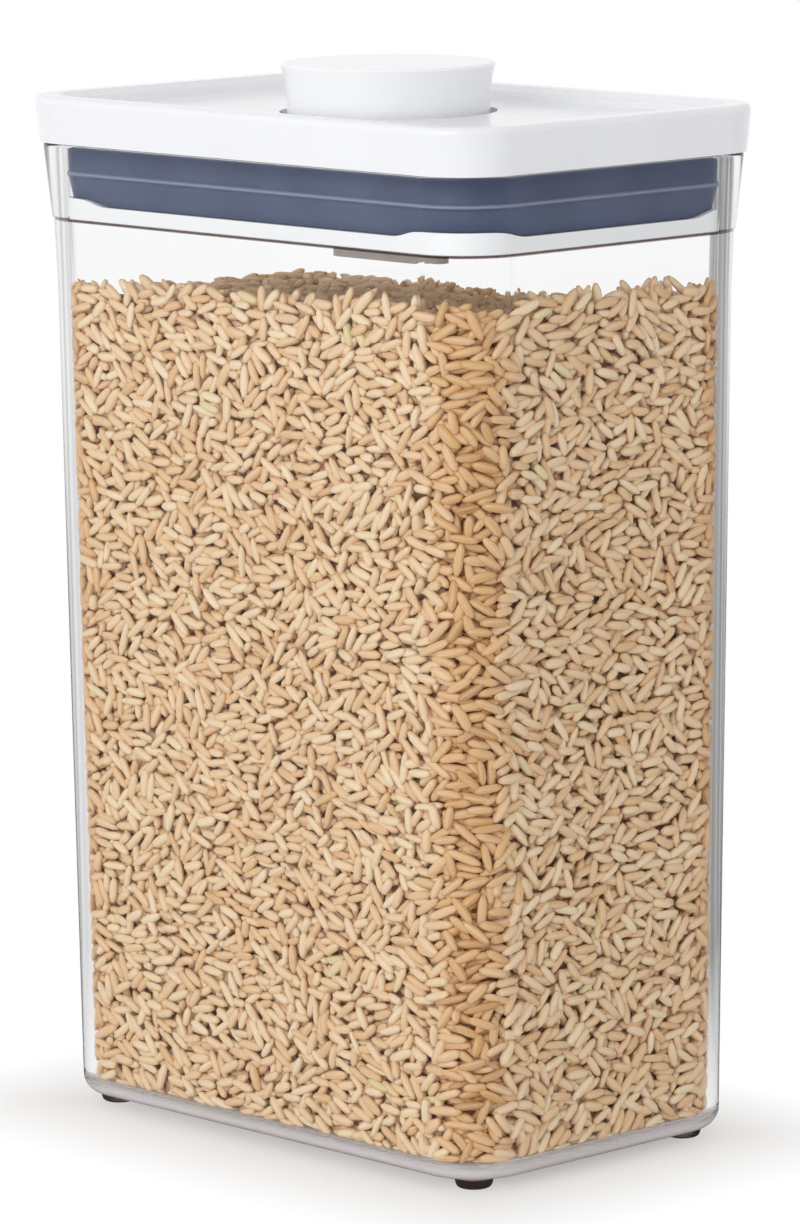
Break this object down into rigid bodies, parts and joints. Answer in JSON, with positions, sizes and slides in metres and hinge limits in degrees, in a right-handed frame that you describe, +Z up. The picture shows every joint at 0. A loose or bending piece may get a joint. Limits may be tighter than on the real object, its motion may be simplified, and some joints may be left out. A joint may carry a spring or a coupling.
{
  "type": "airtight canister",
  "caption": "Clear tapered rectangular canister for dry food, with a white lid whose round push button drives levers that squeeze a silicone gasket to seal it.",
  "frame": {"origin": "under the middle of the base, on the surface that the feet stand on", "axes": "+Z up, X along the long side, Y along the short side"},
  "size_m": [0.1576, 0.1026, 0.257],
  "materials": {
    "clear_plastic": "clear, polished",
    "white_gloss": "glossy",
    "white_satin": "satin",
    "grey_acetal": "satin",
    "silicone": "translucent satin",
    "spring_steel": "drawn wire",
    "screw_steel": "zinc plated"
  },
  "bodies": {
    "container": {"canister": "clear_plastic"},
    "lid": {"lid_cover": "white_gloss", "inner_frame": "white_satin", "frame_screws": "screw_steel", "latch_housing": "white_satin", "lever_axle_left": "spring_steel", "lever_axle_right": "spring_steel", "gasket": "silicone", "return_spring": "spring_steel"},
    "button": {"button_cap": "white_gloss", "plunger": "grey_acetal"},
    "seal_plate": {"seal_plate": "white_satin"},
    "latch": {"latch_pin": "spring_steel"},
    "lever_left_front": {"lever_left_front": "grey_acetal"},
    "lever_left_back": {"lever_left_back": "grey_acetal"},
    "lever_right_front": {"lever_right_front": "grey_acetal"},
    "lever_right_back": {"lever_right_back": "grey_acetal"}
  },
  "joints": [
    {"name": "lid_lift", "type": "slide", "parent": "container", "child": "lid", "axis": [0, 0, 1], "range_m": [0, 0.045]},
    {"name": "button_press", "type": "slide", "parent": "lid", "child": "button", "axis": [0, 0, -1], "range_m": [0, 0.0105], "stiffness_N_per_m": 500, "springref_m": -0.008, "deforming": ["return_spring"]},
    {"name": "plate_lift", "type": "slide", "parent": "lid", "child": "seal_plate", "axis": [0, 0, 1], "range_m": [0, 0.0024], "deforming": ["gasket"]},
    {"name": "latch_swing", "type": "hinge", "parent": "lid", "child": "latch", "pos_m": [0, 0, 0.2142], "axis": [0, 1, 0], "range_deg": [-5, 5], "stiffness_Nm_per_rad": 0.002},
    {"name": "lever_left_front_swing", "type": "hinge", "parent": "lid", "child": "lever_left_front", "pos_m": [-0.04031, -0.012, 0.23045], "axis": [0, 1, 0], "range_deg": [0, 30]},
    {"name": "lever_left_back_swing", "type": "hinge", "parent": "lid", "child": "lever_left_back", "pos_m": [-0.04031, 0.012, 0.23045], "axis": [0, 1, 0], "range_deg": [0, 30]},
    {"name": "lever_right_front_swing", "type": "hinge", "parent": "lid", "child": "lever_right_front", "pos_m": [0.04031, -0.012, 0.23045], "axis": [0, -1, 0], "range_deg": [0, 30]},
    {"name": "lever_right_back_swing", "type": "hinge", "parent": "lid", "child": "lever_right_back", "pos_m": [0.04031, 0.012, 0.23045], "axis": [0, -1, 0], "range_deg": [0, 30]}
  ],
  "couplings": [
    {"joint": "plate_lift", "follows": "button_press", "ratio": 0.2285},
    {"joint": "lever_left_front_swing", "follows": "button_press", "rad_per_m": 49.866},
    {"joint": "lever_left_back_swing", "follows": "button_press", "rad_per_m": 49.866},
    {"joint": "lever_right_front_swing", "follows": "button_press", "rad_per_m": 49.866},
    {"joint": "lever_right_back_swing", "follows": "button_press", "rad_per_m": 49.866}
  ]
}
